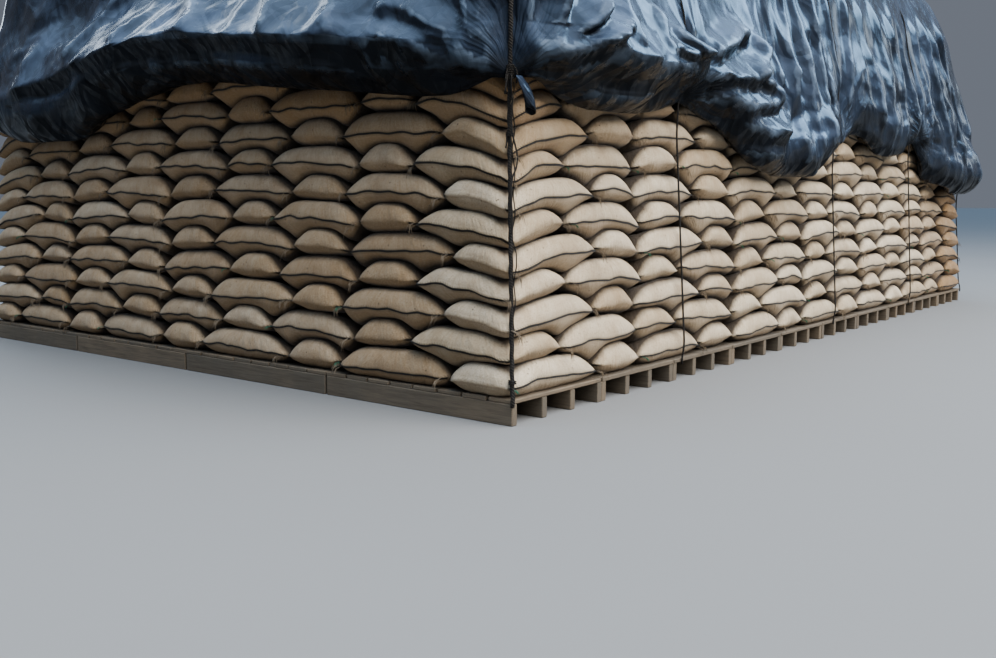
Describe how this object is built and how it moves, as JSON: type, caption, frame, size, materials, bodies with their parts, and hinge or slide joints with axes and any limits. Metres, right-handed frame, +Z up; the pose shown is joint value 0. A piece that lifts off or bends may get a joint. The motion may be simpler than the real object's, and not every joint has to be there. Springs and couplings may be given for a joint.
{
  "type": "stack of filled jute grain sacks on wooden dunnage crates under a roped black cover",
  "caption": "Long stack of filled jute grain sacks laid in bonded layers on wooden dunnage crates, under a roped black polythene cover.",
  "frame": {"origin": "centre of the underside of the stack's bounding box, on the floor", "axes": "+X along the long face, away from the near corner; +Y into the stack from the long face that the picture shows; +Z up"},
  "size_m": [9.575, 6.501, 4.1461],
  "materials": {
    "jute": "coarse plain-woven jute, matt, dusty, paler where the sun reaches it",
    "crate_wood": "weathered grey-brown sawn boards",
    "black_polythene": "creased black polythene film, semi-gloss, dusty on its folds",
    "rope": "dark laid cord, dirty"
  },
  "bodies": {
    "root": {"dunnage_crate_01": "crate_wood", "dunnage_crate_02": "crate_wood", "dunnage_crate_03": "crate_wood", "dunnage_crate_04": "crate_wood", "dunnage_crate_05": "crate_wood", "dunnage_crate_06": "crate_wood", "dunnage_crate_07": "crate_wood", "dunnage_crate_08": "crate_wood", "dunnage_crate_09": "crate_wood", "dunnage_crate_10": "crate_wood", "dunnage_crate_11": "crate_wood", "dunnage_crate_12": "crate_wood", "dunnage_crate_13": "crate_wood", "dunnage_crate_14": "crate_wood", "dunnage_crate_15": "crate_wood", "dunnage_crate_16": "crate_wood", "dunnage_crate_17": "crate_wood", "dunnage_crate_18": "crate_wood", "dunnage_crate_19": "crate_wood", "dunnage_crate_20": "crate_wood", "dunnage_crate_21": "crate_wood", "dunnage_crate_22": "crate_wood", "dunnage_crate_23": "crate_wood", "dunnage_crate_24": "crate_wood", "dunnage_core": "crate_wood", "sacks_layer_01": "jute", "sacks_layer_02": "jute", "sacks_layer_03": "jute", "sacks_layer_04": "jute", "sacks_layer_05": "jute", "sacks_layer_06": "jute", "sacks_layer_07": "jute", "sacks_layer_08": "jute", "sacks_layer_09": "jute", "sacks_layer_10": "jute", "sacks_layer_11": "jute", "sacks_top_core": "jute", "cover_sheet": "black_polythene", "lashing_1": "rope", "lashing_2": "rope", "lashing_3": "rope", "corner_rope_near_front": "rope", "corner_rope_far_front": "rope", "corner_rope_far_back": "rope", "corner_rope_near_back": "rope", "corner_rope_tail": "rope"}
  },
  "joints": []
}
